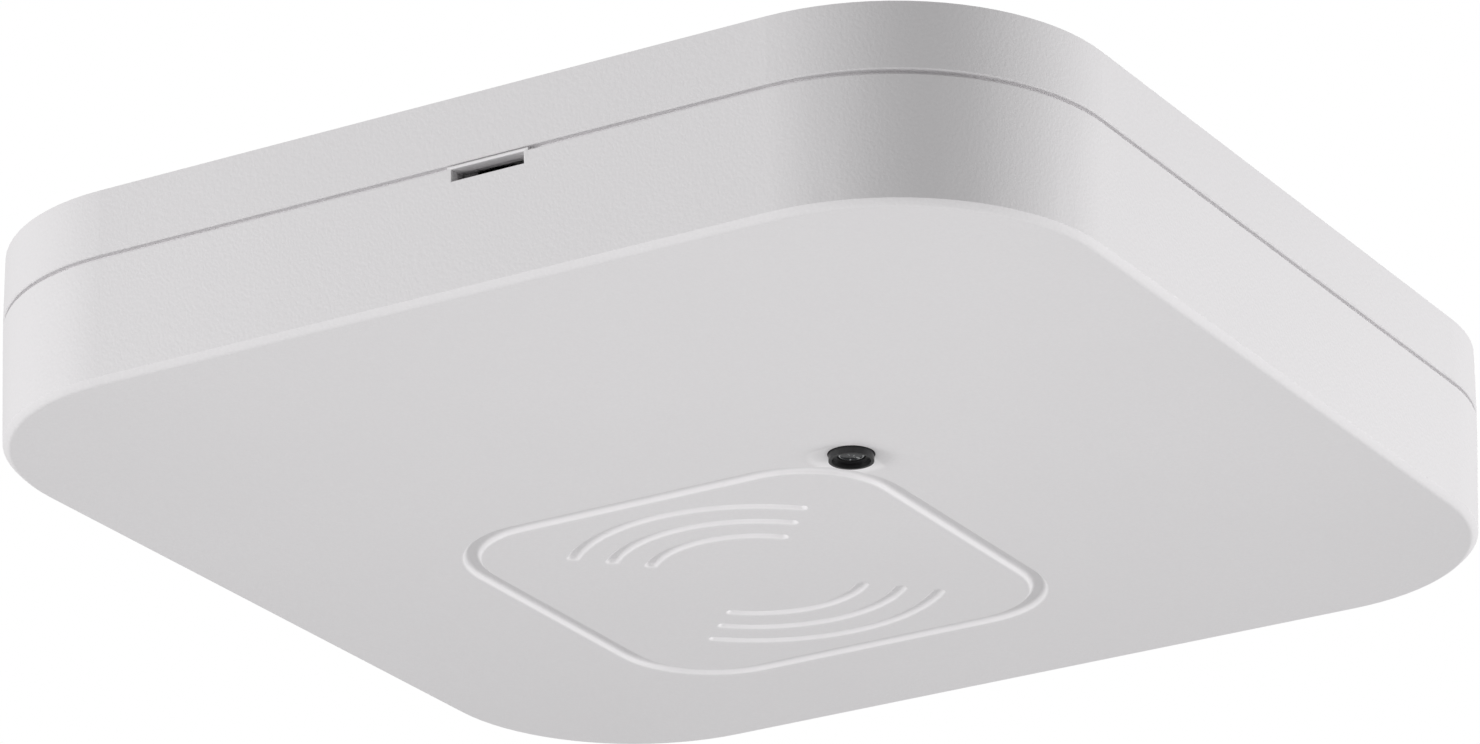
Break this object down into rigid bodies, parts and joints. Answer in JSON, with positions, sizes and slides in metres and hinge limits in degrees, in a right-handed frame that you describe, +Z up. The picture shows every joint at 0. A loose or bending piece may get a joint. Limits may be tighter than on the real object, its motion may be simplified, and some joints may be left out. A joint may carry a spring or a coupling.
{
  "type": "ceiling motion detector",
  "caption": "Flat square ceiling motion detector with rounded corners, a clip-on cover with an engraved radar panel, a small light sensor and mains electronics inside.",
  "frame": {"origin": "middle of the face that rests on the ceiling", "axes": "+Z up into the ceiling, -Y towards the wall with the release slot, +X to the right of it seen from the room"},
  "size_m": [0.12, 0.12, 0.0204],
  "materials": {
    "case_plastic": "fine spark-eroded texture, white",
    "grommet_rubber": "matt black",
    "board_laminate": "green solder resist",
    "rf_laminate": "white solder resist with copper patches",
    "screw_steel": "zinc plated",
    "terminal_plastic": "light grey",
    "clamp_steel": "spring steel",
    "button_plastic": "orange",
    "relay_plastic": "dark blue",
    "transformer_tape": "yellow tape over a dark core",
    "film_plastic": "yellow box",
    "can_sleeve": "dark sleeve, bare aluminium top",
    "choke_sleeve": "black shrink sleeve",
    "varistor_epoxy": "blue epoxy",
    "fuse_plastic": "brown",
    "chip_plastic": "black moulding",
    "resistor_ceramic": "dark film between tinned ends",
    "shield_tin": "tin plate",
    "spacer_nylon": "natural nylon",
    "header_plastic": "black",
    "pin_brass": "gold flash",
    "tube_black": "satin black",
    "guide_clear": "clear moulding",
    "dial_body_plastic": "blue",
    "dial_plastic": "ivory",
    "dip_plastic": "red",
    "slider_plastic": "white"
  },
  "bodies": {
    "base": {"base_housing": "case_plastic", "cable_grommet": "grommet_rubber", "main_board": "board_laminate", "board_screws": "screw_steel", "terminal_block": "terminal_plastic", "relay": "relay_plastic", "supply_transformer": "transformer_tape", "suppression_capacitor": "film_plastic", "supply_capacitors": "can_sleeve", "mains_choke": "choke_sleeve", "surge_varistor": "varistor_epoxy", "fuse": "fuse_plastic", "rectifier": "chip_plastic", "processor_chip": "chip_plastic", "surface_resistors": "resistor_ceramic", "rf_board": "rf_laminate", "rf_shield_can": "shield_tin", "rf_spacers": "spacer_nylon", "rf_header_block": "header_plastic", "rf_header_pins": "pin_brass", "light_sensor": "chip_plastic", "light_tube": "tube_black", "light_guide": "guide_clear", "dial_bodies": "dial_body_plastic", "dip_switch_body": "dip_plastic", "terminal_clamp_1": "clamp_steel", "terminal_clamp_2": "clamp_steel", "terminal_clamp_3": "clamp_steel", "terminal_clamp_4": "clamp_steel"},
    "cover": {"front_cover": "case_plastic", "cover_snap_hooks": "case_plastic"},
    "range_dial": {"range_dial": "dial_plastic"},
    "time_dial": {"time_dial": "dial_plastic"},
    "light_dial": {"light_dial": "dial_plastic"},
    "dip_slider_1": {"dip_slider_1": "slider_plastic"},
    "terminal_button_1": {"terminal_button_1": "button_plastic"},
    "dip_slider_2": {"dip_slider_2": "slider_plastic"},
    "terminal_button_2": {"terminal_button_2": "button_plastic"},
    "dip_slider_3": {"dip_slider_3": "slider_plastic"},
    "terminal_button_3": {"terminal_button_3": "button_plastic"},
    "dip_slider_4": {"dip_slider_4": "slider_plastic"},
    "terminal_button_4": {"terminal_button_4": "button_plastic"}
  },
  "joints": [
    {"name": "cover_pull_off", "type": "slide", "parent": "base", "child": "cover", "axis": [0, 0, -1], "range_m": [0, 0.06], "deforming": ["cover_snap_hooks"]},
    {"name": "range_dial_turn", "type": "hinge", "parent": "base", "child": "range_dial", "pos_m": [0.0245, 0.003, -0.0101], "axis": [0, 0, -1], "range_deg": [-135, 135]},
    {"name": "time_dial_turn", "type": "hinge", "parent": "base", "child": "time_dial", "pos_m": [0.035, 0.003, -0.0101], "axis": [0, 0, -1], "range_deg": [-135, 135]},
    {"name": "light_dial_turn", "type": "hinge", "parent": "base", "child": "light_dial", "pos_m": [0.0455, 0.003, -0.0101], "axis": [0, 0, -1], "range_deg": [-135, 135]},
    {"name": "dip_slider_1_slide", "type": "slide", "parent": "base", "child": "dip_slider_1", "axis": [0, 1, 0], "range_m": [0, 0.00176]},
    {"name": "dip_slider_2_slide", "type": "slide", "parent": "base", "child": "dip_slider_2", "axis": [0, 1, 0], "range_m": [0, 0.00176]},
    {"name": "dip_slider_3_slide", "type": "slide", "parent": "base", "child": "dip_slider_3", "axis": [0, 1, 0], "range_m": [0, 0.00176]},
    {"name": "dip_slider_4_slide", "type": "slide", "parent": "base", "child": "dip_slider_4", "axis": [0, 1, 0], "range_m": [0, 0.00176]},
    {"name": "terminal_button_1_press", "type": "slide", "parent": "base", "child": "terminal_button_1", "axis": [0, 0, 1], "range_m": [0, 0.0012], "stiffness_N_per_m": 300, "deforming": ["terminal_clamp_1"]},
    {"name": "terminal_button_2_press", "type": "slide", "parent": "base", "child": "terminal_button_2", "axis": [0, 0, 1], "range_m": [0, 0.0012], "stiffness_N_per_m": 300, "deforming": ["terminal_clamp_2"]},
    {"name": "terminal_button_3_press", "type": "slide", "parent": "base", "child": "terminal_button_3", "axis": [0, 0, 1], "range_m": [0, 0.0012], "stiffness_N_per_m": 300, "deforming": ["terminal_clamp_3"]},
    {"name": "terminal_button_4_press", "type": "slide", "parent": "base", "child": "terminal_button_4", "axis": [0, 0, 1], "range_m": [0, 0.0012], "stiffness_N_per_m": 300, "deforming": ["terminal_clamp_4"]}
  ]
}
